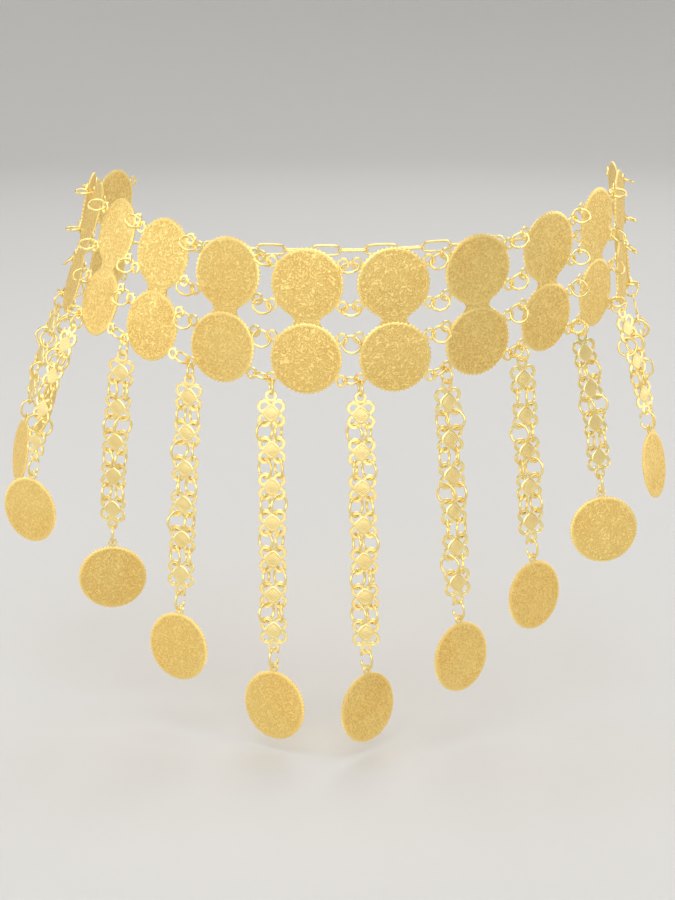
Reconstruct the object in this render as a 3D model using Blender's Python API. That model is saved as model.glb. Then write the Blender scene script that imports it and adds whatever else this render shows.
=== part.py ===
"""Waist chain: a belt of linked double coin plates with hanging strands and coin pendants.

Metres, +Z up, -Y to the front, origin at the middle of the waist that the chain goes round,
at the height of the plates' middles on the two sides.
"""

import math
from collections import namedtuple

import bmesh
import bpy
import numpy as np
from mathutils import Matrix, Vector

MM = 0.001

# Path of the belt round the waist, seen from above: half an ellipse in front and half behind
WAIST_HALF_WIDTH = 147 * MM
WAIST_FRONT_DEPTH = 139 * MM
WAIST_BACK_DEPTH = 108 * MM
PATH_STEPS = 4000
FRONT_SAG = 23 * MM
BACK_SAG = 20 * MM
SIDE_RISE = 2.8 * MM
SIDE_REACH = 205 * MM

# Double coin plate
COIN_RADIUS = 17.4 * MM
COIN_SPACING = 35.8 * MM
NECK_WIDTH = 12.4 * MM
SHEET = 1.2 * MM
EYELET_RADIUS = 3.0 * MM
EYELET_HOLE = 1.75 * MM
EYELET_REACH = 19.8 * MM
EYELET_ANGLE = math.radians(31)
BELT_SHIFT = -21.2 * MM
SLOPE_SHARE = 0.5

# Jump rings, measured at the middle of their wire
RING_RADIUS = 3.8 * MM
WIRE_RADIUS = 0.62 * MM
WIRE_CORNER = 1.15
RING_SEAT = 1.55 * MM
RING_PLAY = 0.1 * MM
TIE_SMALLEST = 3.4 * MM
TIE_LARGEST = 4.05 * MM
TAUT_GAP = 9.4 * MM
SLACK_GAP = 6.8 * MM

# Lobed links and the ring pairs that join them
LOBE_RADIUS = 3.5 * MM
LOBE_OFFSET = 3.35 * MM
LINK_PITCH = 18.05 * MM
TAB_RADIUS = 2.95 * MM
TAB_REACH = 8.5 * MM
PAIR_RADIUS = 3.95 * MM

# Pendant coin
PENDANT_RADIUS = 17.6 * MM
LOOP_RADIUS = 2.4 * MM
LOOP_HOLE = 1.4 * MM
LOOP_REACH = 19.4 * MM

# Places along a strand, from the axis of its top ring down
TOP_RING_PLAY = 0.42 * MM
BAND_MIDDLE = (EYELET_RADIUS + EYELET_HOLE) / 2
FIRST_LINK = 15.0 * MM
END_RING_STRETCH = 1.0 * MM
END_RING_DROP = TAB_REACH + 4.5 * MM + 2 * END_RING_STRETCH
LOOP_DROP = 4.0 * MM

# Closure chain and hook
CLOSURE_LINK_WIDTH = 6.1 * MM
CLOSURE_WIRE = 0.72 * MM
CLOSURE_OVERLAP = 0.55 * MM
CLOSURE_LINKS = 19
HOOK_PLACE = 9
HOOK_CROSSING = 1.6 * MM
HOOK_OPENING = math.radians(50)

# Largest turn between two points of a round outline
COIN_STEP = math.radians(26)
SMALL_STEP = math.radians(75)
LOBE_STEP = math.radians(80)

Disc = namedtuple("Disc", "x z radius step")
PlateRow = namedtuple("PlateRow", "place lean turn")
StrandRow = namedtuple("StrandRow", "plate links lean_top lean_end sway turn facing")

# One row for each plate: its place counted from the middle plate, how far its foot leans
# outwards and how far it is turned from the path, in degrees
PLATES = [
    PlateRow(-6, 7, 0),
    PlateRow(-5, 12, 0),
    PlateRow(-4, 18, 0),
    PlateRow(-3, 16, 2),
    PlateRow(-2, 10, 0),
    PlateRow(-1, 4, -2),
    PlateRow(0, 0, -1),
    PlateRow(1, -3, -2),
    PlateRow(2, -6, 2),
    PlateRow(3, -5, 2),
    PlateRow(4, -1, 0),
    PlateRow(5, 4, 0),
    PlateRow(6, 8, 0),
]

# One row for each strand: the plate whose lower left eyelet carries it, its number of links,
# its outward lean at the top and the end, its sideways sway, the turn of its links from the
# plate, and the direction that its pendant faces, in degrees from the front
STRANDS = [
    StrandRow(-5, 2, 22, 14, 0, 0, -96),
    StrandRow(-4, 3, 25, 12, -4, 12, -68),
    StrandRow(-3, 4, 30, 4, -8, 12, -30),
    StrandRow(-2, 5, 7, -2, -5, 28, 8),
    StrandRow(-1, 6, 5, 3, -2, 14, -29),
    StrandRow(0, 7, 5, 5, 1, 6, -30),
    StrandRow(1, 7, 5, 5, 1, -3, 42),
    StrandRow(2, 6, 6, 5, 1.5, -8, 39),
    StrandRow(3, 5, 6, 5, 1, -24, 38),
    StrandRow(4, 4, 14, 6, 1.5, -32, 5),
    StrandRow(5, 3, 22, 11, 0, -30, 62),
    StrandRow(6, 2, 16, 10, 0, -8, 82),
]

# The four eyelets on each side of a plate: upper or lower coin, upper or lower end
EYELET_ROWS = [(1, 1), (1, -1), (-1, 1), (-1, -1)]
STRAND_EYELET = (-1, -1)
CLOSURE_EYELET = (-1, 1)


def waist_path():
    """Arc length from the middle of the front, and the place there."""
    turn = np.linspace(-math.pi, math.pi, PATH_STEPS + 1)
    depth = np.where(np.cos(turn) > 0, WAIST_FRONT_DEPTH, WAIST_BACK_DEPTH)
    x = WAIST_HALF_WIDTH * np.sin(turn)
    y = -depth * np.cos(turn)
    arc = np.concatenate([[0], np.cumsum(np.hypot(np.diff(x), np.diff(y)))])
    return arc - arc[PATH_STEPS // 2], x, y


PATH_ARC, PATH_X, PATH_Y = waist_path()
HALF_GIRTH = PATH_ARC[-1]


def belt_height(arc):
    """Height of the belt's middle: it sags in front and behind, and rides up on the right."""
    along = abs(arc)
    rise = SIDE_RISE * float(np.interp(arc, PATH_ARC, PATH_X)) / WAIST_HALF_WIDTH
    if along < SIDE_REACH:
        return rise - FRONT_SAG * math.cos(math.pi / 2 * along / SIDE_REACH) ** 2
    back = (HALF_GIRTH - along) / (HALF_GIRTH - SIDE_REACH)
    return rise - BACK_SAG * math.cos(math.pi / 2 * back) ** 2


def belt_point(arc):
    arc = (arc + HALF_GIRTH) % (2 * HALF_GIRTH) - HALF_GIRTH
    x = float(np.interp(arc, PATH_ARC, PATH_X))
    y = float(np.interp(arc, PATH_ARC, PATH_Y))
    return Vector((x, y, belt_height(arc)))


def belt_heading(arc):
    """Angle of the path from +X, which is also how far a plate there faces to the right."""
    step = belt_point(arc + MM) - belt_point(arc - MM)
    return math.atan2(step.y, step.x)


def frame_down(point, heading, down):
    """A piece's frame: x along its width, y inwards, z against the way that it hangs."""
    up = -down.normalized()
    across = Vector((math.cos(heading), math.sin(heading), 0))
    across = (across - across.dot(up) * up).normalized()
    inwards = up.cross(across)
    turn = Matrix((across, inwards, up)).transposed()
    return Matrix.Translation(point) @ turn.to_4x4()


def hang_direction(heading, lean, sway):
    """Way down along something that leans outwards and sways sideways."""
    outwards = Vector((math.sin(heading), -math.cos(heading), 0))
    sideways = Vector((math.cos(heading), math.sin(heading), 0))
    down = Vector((0, 0, -1))
    return (down + math.tan(lean) * outwards + math.tan(sway) * sideways).normalized()


def plate_frame(row, arc):
    """A plate's frame: it turns with the belt's slope, but less than that, because it hangs."""
    heading = belt_heading(arc) + math.radians(row.turn)
    rise = belt_height(arc + MM) - belt_height(arc - MM)
    tilt = SLOPE_SHARE * math.atan2(rise, 2 * MM)
    down = hang_direction(heading, math.radians(row.lean), tilt)
    return frame_down(belt_point(arc), heading, down)


def eyelet_centre(side, coin, end):
    """An eyelet's place on its plate: side right or left, coin upper or lower, end up or down."""
    across = side * EYELET_REACH * math.cos(EYELET_ANGLE)
    height = coin * COIN_SPACING / 2 + end * EYELET_REACH * math.sin(EYELET_ANGLE)
    return across, height


def widest_gap(right, left):
    """Largest distance between the facing eyelets of two neighbouring plates."""
    gaps = []
    for coin, end in EYELET_ROWS:
        across, height = eyelet_centre(1, coin, end)
        gaps.append((right @ Vector((-across, 0, height)) - left @ Vector((across, 0, height))).length)
    return max(gaps)


def lay_plates():
    """Every plate's arc and frame, each so far from the last that its widest tie is taut."""
    rows = {row.place: row for row in PLATES}
    arcs = {0: BELT_SHIFT}
    frames = {0: plate_frame(rows[0], BELT_SHIFT)}
    for way in (1, -1):
        place = way
        while place in rows:
            last = frames[place - way]
            near, far = COIN_RADIUS, 4 * COIN_RADIUS
            while far - near > MM / 1000:
                pitch = (near + far) / 2
                frame = plate_frame(rows[place], arcs[place - way] + way * pitch)
                gap = widest_gap(frame, last) if way > 0 else widest_gap(last, frame)
                near, far = (pitch, far) if gap < TAUT_GAP else (near, pitch)
            arcs[place] = arcs[place - way] + way * near
            frames[place] = plate_frame(rows[place], arcs[place])
            place += way
    return arcs, frames


def meeting(first, second, neck):
    """Where the outline leaves one disc and enters the next, anticlockwise."""
    start = Vector((first.x, first.z))
    way = Vector((second.x, second.z)) - start
    gap = way.length
    way.normalize()
    outer = Vector((way.y, -way.x))
    if gap >= first.radius + second.radius:
        half = neck / 2
        leave = start + way * math.sqrt(first.radius**2 - half**2) + outer * half
        enter = start + way * (gap - math.sqrt(second.radius**2 - half**2)) + outer * half
        return leave, enter
    along = (gap**2 + first.radius**2 - second.radius**2) / (2 * gap)
    aside = math.sqrt(first.radius**2 - along**2)
    point = start + way * along + outer * aside
    return point, point


def outline(discs, neck=0):
    """Outer outline of a ring of discs, each of which meets the next or joins it by a neck."""
    count = len(discs)
    gates = [meeting(discs[i], discs[(i + 1) % count], neck) for i in range(count)]
    points = []
    for i, disc in enumerate(discs):
        centre = Vector((disc.x, disc.z))
        enter = gates[i - 1][1]
        leave = gates[i][0]
        begin = math.atan2(enter.y - centre.y, enter.x - centre.x)
        finish = math.atan2(leave.y - centre.y, leave.x - centre.x)
        span = (finish - begin) % (2 * math.pi)
        steps = max(1, math.ceil(span / disc.step - 0.2))
        last = steps + 1 if gates[i][0] != gates[i][1] else steps
        for n in range(last):
            angle = begin + span * n / steps
            points.append(centre + disc.radius * Vector((math.cos(angle), math.sin(angle))))
    return points


def circle_points(x, z, radius, sides):
    angles = [2 * math.pi * (n + 0.5) / sides for n in range(sides)]
    return [Vector((x + radius * math.cos(a), z + radius * math.sin(a))) for a in angles]


def add_flat(bm, frame, loops, thickness):
    """A flat piece of sheet with the given outline and holes, in a piece's frame."""
    edges = []
    for loop in loops:
        verts = [bm.verts.new((p.x, thickness / 2, p.y)) for p in loop]
        edges += [bm.edges.new((verts[n - 1], verts[n])) for n in range(len(verts))]
    filled = bmesh.ops.triangle_fill(bm, edges=edges, use_beauty=False)
    faces = [g for g in filled["geom"] if isinstance(g, bmesh.types.BMFace)]
    pulled = bmesh.ops.extrude_face_region(bm, geom=faces, use_keep_orig=True)
    moved = [g for g in pulled["geom"] if isinstance(g, bmesh.types.BMVert)]
    bmesh.ops.translate(bm, verts=moved, vec=(0, -thickness, 0))
    verts = {v for e in edges for v in e.verts} | set(moved)
    bmesh.ops.transform(bm, matrix=frame, verts=list(verts))


def add_ring(bm, frame, radius, wire, steps, turn=0.0, spread=0.0, opening=0.0):
    """A three-sided wire ring whose axis is the frame's x, with a flat stretch at top and foot.

    Its halves are spread apart along z to make it long, and an opening in radians, on the side
    that faces inwards, makes it a hook.
    """
    lift = ring_lift(radius, steps)
    start = Matrix.Rotation(turn + math.pi / steps - opening / 2, 4, "X")
    if opening:
        start = Matrix.Rotation(-math.pi / 2 - opening / 2, 4, "X")
    profile = []
    for corner in range(3):
        angle = 2 * math.pi * corner / 3
        height = lift + WIRE_CORNER * wire * math.cos(angle)
        place = Vector((WIRE_CORNER * wire * math.sin(angle), 0, height))
        profile.append(bm.verts.new(start @ place))
    edges = [bm.edges.new((profile[n - 1], profile[n])) for n in range(3)]
    before = set(bm.verts) - set(profile)
    swept = bmesh.ops.spin(
        bm, geom=profile + edges, cent=(0, 0, 0), axis=(1, 0, 0), dvec=(0, 0, 0),
        angle=opening - 2 * math.pi, steps=steps, use_merge=not opening,
    )
    if opening:
        bm.faces.new(profile)
        bm.faces.new([g for g in swept["geom_last"] if isinstance(g, bmesh.types.BMVert)])
    verts = [v for v in bm.verts if v not in before]
    for vert in verts:
        vert.co.z += math.copysign(spread, vert.co.z)
    bmesh.ops.transform(bm, matrix=frame, verts=verts)


def ring_lift(radius, steps):
    """Radius of a ring's corners whose sides lie as far inside the round ring as they lie out."""
    return radius / math.cos(math.pi / steps) ** 0.5


def new_material(name, colour, roughness):
    material = bpy.data.materials.new(name)
    material.use_nodes = True
    shader = material.node_tree.nodes["Principled BSDF"]
    shader.inputs["Base Color"].default_value = (*colour, 1)
    shader.inputs["Roughness"].default_value = roughness
    shader.inputs["Metallic"].default_value = 1.0
    return material


def new_object(name, bm, frame, material):
    """An object with its origin and axes at the frame, from a mesh made in world places."""
    bmesh.ops.recalc_face_normals(bm, faces=bm.faces)
    bmesh.ops.transform(bm, matrix=frame.inverted(), verts=bm.verts)
    mesh = bpy.data.meshes.new(name)
    bm.to_mesh(mesh)
    bm.free()
    mesh.materials.append(material)
    piece = bpy.data.objects.new(name, mesh)
    piece.matrix_world = frame
    bpy.context.collection.objects.link(piece)
    return piece


def fuse(piece, bm, frame, material):
    """Joins a second mesh, which crosses the first, to a piece."""
    other = new_object(piece.name + "_joined", bm, frame, material)
    other.hide_render = True
    other.display_type = "WIRE"
    join = piece.modifiers.new("Join", "BOOLEAN")
    join.operation = "UNION"
    join.solver = "EXACT"
    join.object = other


def plate_loops(holes):
    """Outline and eyelet holes of a double coin plate."""
    upper = Disc(0, COIN_SPACING / 2, COIN_RADIUS, COIN_STEP)
    lower = Disc(0, -COIN_SPACING / 2, COIN_RADIUS, COIN_STEP)

    def eyelet(side, coin, end):
        return Disc(*eyelet_centre(side, coin, end), EYELET_RADIUS, SMALL_STEP)

    discs = [
        upper, eyelet(1, 1, -1), upper, eyelet(1, 1, 1),
        upper, eyelet(-1, 1, 1), upper, eyelet(-1, 1, -1),
        upper, lower, eyelet(-1, -1, 1),
        lower, eyelet(-1, -1, -1), lower, eyelet(1, -1, -1),
        lower, eyelet(1, -1, 1), lower,
    ]
    cut = []
    for hole in holes:
        sides = 8 if hole == (-1, *STRAND_EYELET) else 6
        cut.append(circle_points(*eyelet_centre(*hole), EYELET_HOLE, sides))
    return [outline(discs, NECK_WIDTH)] + cut


def tie_ring(right, left, row):
    """Frame and radius of the jump ring fixed in the right plate's eyelet, through the left one's.

    A slack ring's middle lies off the straight way, on the side where it passes the left plate
    more squarely.
    """
    across, height = eyelet_centre(1, *row)
    far = left @ Vector((across, 0, height))
    gap = (right @ Vector((-across, 0, height)) - far).length
    side = 1 if gap > SLACK_GAP or row == STRAND_EYELET else -1
    seat = right @ Vector((-across - side * RING_SEAT, 0, height))
    bow = 1 if (left.inverted() @ seat).y > 0 else -1
    way = far - seat
    radius = min(max(way.length / 2, TIE_SMALLEST), TIE_LARGEST)
    chord = min(2 * radius, way.length + RING_PLAY)
    way.normalize()
    inwards = (right.to_3x3() + left.to_3x3()) @ Vector((0, 1, 0))
    axis = way.cross(inwards).normalized()
    depth = axis.cross(way)
    middle = seat + way * chord / 2 - bow * depth * math.sqrt(radius**2 - chord**2 / 4)
    turn = Matrix((axis, depth, way)).transposed().to_4x4()
    return Matrix.Translation(middle) @ turn, radius


def make_plate(number, row, frames, gold):
    """A plate with the four jump rings that tie it to the plate on its left."""
    frame = frames[row.place]
    first = row is PLATES[0]
    last = row is PLATES[-1]
    holes = [(-1, *(CLOSURE_EYELET if first else STRAND_EYELET))]
    holes += [(1, *CLOSURE_EYELET)] if last else [(1, *eyelet) for eyelet in EYELET_ROWS]
    bm = bmesh.new()
    add_flat(bm, frame, plate_loops(holes), SHEET)
    plate = new_object(f"plate_{number:02d}", bm, frame, gold)
    if first:
        return
    rings = bmesh.new()
    for eyelet in EYELET_ROWS:
        ring, radius = tie_ring(frame, frames[row.place - 1], eyelet)
        add_ring(rings, ring, radius, WIRE_RADIUS, 6)
    fuse(plate, rings, frame, gold)


class Strand:
    """The line along which a strand hangs, with its pieces' frames."""

    def __init__(self, row, frames):
        self.row = row
        across, height = eyelet_centre(-1, *STRAND_EYELET)
        plate = frames[row.plate]
        self.hook = plate @ Vector((across, 0, height - BAND_MIDDLE))
        sideways = plate.to_3x3() @ Vector((1, 0, 0))
        self.heading = math.atan2(sideways.y, sideways.x)
        self.length = FIRST_LINK + (row.links - 1) * LINK_PITCH + END_RING_DROP

    def down(self, drop):
        share = min(drop / self.length, 1)
        lean = self.row.lean_top + (self.row.lean_end - self.row.lean_top) * share
        return hang_direction(self.heading, math.radians(lean), math.radians(self.row.sway))

    def point(self, drop):
        steps = max(1, round(drop / MM))
        step = drop / steps
        place = self.hook.copy()
        for n in range(steps):
            place += self.down((n + 0.5) * step) * step
        return place

    def frame(self, drop, turn=0.0):
        return frame_down(self.point(drop), self.heading + math.radians(turn), self.down(drop))

    def link_drop(self, number):
        return FIRST_LINK + number * LINK_PITCH

    def end_frame(self):
        """Frame at the middle of the end ring's round foot, turned as the pendant faces."""
        facing = math.radians(self.row.facing)
        return frame_down(self.point(self.length), facing, self.down(self.length))


def link_loops(top_tab, foot_tab):
    """Outline of a link of four lobes, with a tab where it ends the strand."""
    o = LOBE_OFFSET
    lobe = [Disc(x, z, LOBE_RADIUS, LOBE_STEP) for x, z in ((o, o), (-o, o), (-o, -o), (o, -o))]
    discs = [lobe[0]]
    if top_tab:
        discs.append(Disc(0, TAB_REACH, TAB_RADIUS, SMALL_STEP))
    discs += [lobe[1], lobe[2]]
    if foot_tab:
        discs.append(Disc(0, -TAB_REACH, TAB_RADIUS, SMALL_STEP))
    discs.append(lobe[3])
    return [outline(discs)]


def make_strand(number, strand, gold):
    """Links, ring pairs and the two end rings of a strand, as one hanging piece."""
    row = strand.row
    origin = frame_down(strand.hook, strand.heading, strand.down(0))
    links = bmesh.new()
    for n in range(row.links):
        frame = strand.frame(strand.link_drop(n), row.turn)
        add_flat(links, frame, link_loops(n == 0, n == row.links - 1), SHEET)
    piece = new_object(f"strand_{number:02d}", links, origin, gold)

    rings = bmesh.new()
    top_drop = top_ring_drop()
    add_ring(rings, strand.frame(top_drop), RING_RADIUS, WIRE_RADIUS, 6)
    for n in range(row.links - 1):
        middle = strand.frame(strand.link_drop(n + 0.5), row.turn)
        for side in (-1, 1):
            place = Matrix.Translation((side * LOBE_OFFSET, 0, 0))
            add_ring(rings, middle @ place, PAIR_RADIUS, WIRE_RADIUS, 4, math.pi / 4)
    end = strand.end_frame() @ Matrix.Translation((0, 0, END_RING_STRETCH))
    add_ring(rings, end, RING_RADIUS, WIRE_RADIUS, 8, 0, END_RING_STRETCH)
    fuse(piece, rings, origin, gold)


def top_ring_drop():
    """How far below its axis the top ring's middle lies, so that it clears the band's corners."""
    flat = RING_RADIUS * math.cos(math.pi / 6) ** 0.5 - WIRE_CORNER / 2 * WIRE_RADIUS
    return flat - TOP_RING_PLAY - (EYELET_RADIUS - EYELET_HOLE) / 2


def make_pendant(number, strand, gold):
    """A coin with a loop, hung on the strand's end ring, about whose axis it swings."""
    frame = strand.end_frame()
    loop = Disc(0, -LOOP_DROP, LOOP_RADIUS, SMALL_STEP)
    coin = Disc(0, -LOOP_DROP - LOOP_REACH, PENDANT_RADIUS, COIN_STEP)
    hole = circle_points(0, -LOOP_DROP, LOOP_HOLE, 6)
    bm = bmesh.new()
    add_flat(bm, frame, [outline([coin, loop]), hole], SHEET)
    new_object(f"pendant_{number:02d}", bm, frame, gold)


def closure_nodes(arcs, frames):
    """Places along the back of the waist where the closure's links meet."""
    across, height = eyelet_centre(1, *CLOSURE_EYELET)
    right, left = PLATES[-1].place, PLATES[0].place
    start_arc = arcs[right] + across
    finish_arc = arcs[left] - across + 2 * HALF_GIRTH
    nodes = [frames[right] @ Vector((across, 0, height))]
    for n in range(1, CLOSURE_LINKS):
        arc = start_arc + (finish_arc - start_arc) * n / CLOSURE_LINKS
        nodes.append(belt_point(arc) + Vector((0, 0, height)))
    return nodes + [frames[left] @ Vector((-across, 0, height))]


def closure_frame(near, far, level):
    """Frame of a link between two places, with its wire level or upright."""
    way = (far - near).normalized()
    aside = way.cross(Vector((0, 0, 1))).normalized()
    upright = aside.cross(way)
    axis = upright if level else aside
    turn = Matrix((axis, way.cross(axis), way)).transposed().to_4x4()
    return Matrix.Translation((near + far) / 2) @ turn


def add_closure_link(bm, nodes, number, reach, opening=0.0):
    """One long link, level or upright in turn, whose ends reach past the places it joins."""
    near, far = nodes[number], nodes[number + 1]
    half = (far - near).length / 2 + reach
    radius = CLOSURE_LINK_WIDTH / 2
    steps = 10 if opening else 6
    spread = half - (radius if opening else ring_lift(radius, steps))
    frame = closure_frame(near, far, number % 2 == 0)
    add_ring(bm, frame, radius, CLOSURE_WIRE, steps, -math.pi / 6, spread, opening)


def make_closure(nodes, gold):
    """Two stretches of chain and the hook that fastens them at the back."""
    stretches = {
        "closure_chain_right": range(HOOK_PLACE),
        "closure_chain_left": range(HOOK_PLACE + 1, CLOSURE_LINKS),
    }
    for name, numbers in stretches.items():
        level, upright = bmesh.new(), bmesh.new()
        for n in numbers:
            add_closure_link(upright if n % 2 else level, nodes, n, CLOSURE_OVERLAP / 2)
        origin = Matrix.Translation(nodes[numbers[0]])
        chain = new_object(name, level, origin, gold)
        fuse(chain, upright, origin, gold)
    hook = bmesh.new()
    reach = HOOK_CROSSING - CLOSURE_OVERLAP / 2
    add_closure_link(hook, nodes, HOOK_PLACE, reach, HOOK_OPENING)
    new_object("closure_hook", hook, Matrix.Translation(nodes[HOOK_PLACE]), gold)


def main():
    for leftover in list(bpy.data.objects):
        bpy.data.objects.remove(leftover)
    plate_gold = new_material("Plate gold", (0.83, 0.62, 0.26), 0.42)
    link_gold = new_material("Link gold", (0.87, 0.72, 0.36), 0.32)
    pendant_gold = new_material("Pendant gold", (0.84, 0.64, 0.28), 0.4)
    chain_gold = new_material("Chain gold", (0.86, 0.68, 0.32), 0.3)
    arcs, frames = lay_plates()
    for number, row in enumerate(PLATES, 1):
        make_plate(number, row, frames, plate_gold)
    for number, row in enumerate(STRANDS, 1):
        strand = Strand(row, frames)
        make_strand(number, strand, link_gold)
        make_pendant(number, strand, pendant_gold)
    make_closure(closure_nodes(arcs, frames), chain_gold)


main()
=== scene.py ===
"""Waist chain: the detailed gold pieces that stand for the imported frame's solids.

Metres, +Z up, -Y to the front. A piece's own axes are x along its width, y inwards to the
waist and z against the way that it hangs.
"""

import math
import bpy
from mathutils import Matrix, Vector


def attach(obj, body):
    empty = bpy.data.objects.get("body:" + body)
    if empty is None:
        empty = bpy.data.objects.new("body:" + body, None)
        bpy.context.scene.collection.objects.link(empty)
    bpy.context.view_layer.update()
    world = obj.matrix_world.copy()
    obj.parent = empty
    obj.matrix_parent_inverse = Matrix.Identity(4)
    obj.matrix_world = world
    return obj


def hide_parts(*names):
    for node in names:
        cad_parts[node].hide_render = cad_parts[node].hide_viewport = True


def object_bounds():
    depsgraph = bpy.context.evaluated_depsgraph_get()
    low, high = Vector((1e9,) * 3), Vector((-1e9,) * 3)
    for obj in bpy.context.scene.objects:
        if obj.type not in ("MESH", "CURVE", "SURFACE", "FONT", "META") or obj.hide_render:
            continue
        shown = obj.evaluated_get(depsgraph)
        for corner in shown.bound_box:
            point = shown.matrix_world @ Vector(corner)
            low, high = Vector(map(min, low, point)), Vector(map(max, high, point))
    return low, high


bl_info = {
    "name": "Coin waist chain",
    "version": (1, 0, 0),
    "blender": (4, 5, 0),
    "location": "View3D > Sidebar > Waist chain",
    "description": "Coin plates, hanging strands, pendants and closing chain of a gold waist chain",
    "category": "Add Mesh",
}

from collections import namedtuple

import bmesh
import bpy
import numpy as np
from bpy.props import FloatProperty, FloatVectorProperty, IntProperty
from mathutils import Matrix, Vector

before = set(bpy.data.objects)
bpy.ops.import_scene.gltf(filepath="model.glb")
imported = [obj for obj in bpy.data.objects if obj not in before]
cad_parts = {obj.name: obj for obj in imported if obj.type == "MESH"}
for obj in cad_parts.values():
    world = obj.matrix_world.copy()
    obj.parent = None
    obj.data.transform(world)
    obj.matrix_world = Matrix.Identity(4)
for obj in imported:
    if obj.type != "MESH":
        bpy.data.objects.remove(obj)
CAD_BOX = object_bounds()

MM = 0.001

# The layout below repeats the part's source, in the same named values

WAIST_HALF_WIDTH = 147 * MM
WAIST_FRONT_DEPTH = 139 * MM
WAIST_BACK_DEPTH = 108 * MM
PATH_STEPS = 4000
FRONT_SAG = 23 * MM
BACK_SAG = 20 * MM
SIDE_RISE = 2.8 * MM
SIDE_REACH = 205 * MM
COIN_RADIUS = 17.4 * MM
COIN_SPACING = 35.8 * MM
EYELET_RADIUS = 3.0 * MM
EYELET_HOLE = 1.75 * MM
EYELET_REACH = 19.8 * MM
EYELET_ANGLE = math.radians(31)
BELT_SHIFT = -21.2 * MM
SLOPE_SHARE = 0.5
RING_RADIUS = 3.8 * MM
WIRE_RADIUS = 0.62 * MM
WIRE_CORNER = 1.15
TAUT_GAP = 9.4 * MM
LOBE_RADIUS = 3.5 * MM
LOBE_OFFSET = 3.35 * MM
LINK_PITCH = 18.05 * MM
TAB_RADIUS = 2.95 * MM
TAB_REACH = 8.5 * MM
PENDANT_RADIUS = 17.6 * MM
LOOP_RADIUS = 2.4 * MM
LOOP_HOLE = 1.4 * MM
LOOP_REACH = 19.4 * MM
TOP_RING_PLAY = 0.42 * MM
BAND_MIDDLE = (EYELET_RADIUS + EYELET_HOLE) / 2
FIRST_LINK = 15.0 * MM
END_RING_STRETCH = 1.0 * MM
END_RING_DROP = TAB_REACH + 4.5 * MM + 2 * END_RING_STRETCH
LOOP_DROP = 4.0 * MM
CLOSURE_LINK_WIDTH = 6.1 * MM
CLOSURE_WIRE = 0.72 * MM
CLOSURE_OVERLAP = 0.55 * MM
CLOSURE_LINKS = 19
HOOK_PLACE = 9
HOOK_CROSSING = 1.6 * MM
HOOK_OPENING = math.radians(50)

# How the scene's rings lie in their holes, so that a swinging strand clears them

TIE_SEAT = 1.1 * MM
TOP_RING_ASIDE = 0.12 * MM

# Thickness of the sheet that each flat form is stamped from, and the links' proud edges

EYELET_SHEET = 0.95 * MM
LOBE_SHEET = 0.75 * MM
LOBE_EDGE = 0.2 * MM
TAB_SHEET = 0.8 * MM

# How far a coin's teeth stand past its radius, because their hollows cut inside it

PLATE_TOOTH_REACH = 0.15 * MM
PENDANT_TOOTH_REACH = 0.1 * MM

# Width of the cut in each kind of ring, as an angle

TIE_CUT = 0.09
PAIR_CUT = 0.06
TOP_CUT = 0.08
END_CUT = 0.16
CLOSURE_CUT = 0.05

# Faces round a ring and round its wire

RING_STEPS = 36
LONG_RING_STEPS = 40
WIRE_SIDES = 10

PlateRow = namedtuple("PlateRow", "place lean turn")
LightRow = namedtuple("LightRow", "name place width height power")
StrandRow = namedtuple("StrandRow", "plate links lean_top lean_end sway turn facing ring_turn")
TieRow = namedtuple("TieRow", "coin end tilt cut size")

PLATES = [
    PlateRow(-6, 7, 0),
    PlateRow(-5, 12, 0),
    PlateRow(-4, 18, 0),
    PlateRow(-3, 16, 2),
    PlateRow(-2, 10, 0),
    PlateRow(-1, 4, -2),
    PlateRow(0, 0, -1),
    PlateRow(1, -3, -2),
    PlateRow(2, -6, 2),
    PlateRow(3, -5, 2),
    PlateRow(4, -1, 0),
    PlateRow(5, 4, 0),
    PlateRow(6, 8, 0),
]

# The last column is how far the strand's top ring is turned towards the front, in degrees
STRANDS = [
    StrandRow(-5, 2, 22, 14, 0, 0, -96, 8),
    StrandRow(-4, 3, 25, 12, -4, 12, -68, 18),
    StrandRow(-3, 4, 30, 4, -8, 12, -30, 15),
    StrandRow(-2, 5, 7, -2, -5, 28, 8, 16),
    StrandRow(-1, 6, 5, 3, -2, 14, -29, 10),
    StrandRow(0, 7, 5, 5, 1, 6, -30, 22),
    StrandRow(1, 7, 5, 5, 1, -3, 42, 8),
    StrandRow(2, 6, 6, 5, 1.5, -8, 39, 13),
    StrandRow(3, 5, 6, 5, 1, -24, 38, 14),
    StrandRow(4, 4, 14, 6, 1.5, -32, 5, 10),
    StrandRow(5, 3, 22, 11, 0, -30, 62, 16),
    StrandRow(6, 2, 16, 10, 0, -8, 82, 12),
]

# The four jump rings of a gap: upper or lower coin, upper or lower end, how far the ring droops
# from level, where its cut lies, in degrees from its foremost point, and its share of the full size
TIES = [
    TieRow(1, 1, 20, 60, 1),
    TieRow(1, -1, 28, 4, 1),
    TieRow(-1, 1, 48, 150, 1),
    TieRow(-1, -1, 6, 120, 0.87),
]

STRAND_EYELET = (-1, -1)
CLOSURE_EYELET = (-1, 1)

# How far the two rings of a pair are turned from edge-on, in degrees, pair after pair
PAIR_TURNS = [(48, -18), (-12, 42), (-44, 16), (20, 50), (-50, -14), (46, 28), (-24, -46)]

# Steps of the small differences in how the rings between plates droop, in degrees
WANDER_STEP = 3
WANDER_RANGE = 7

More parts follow.
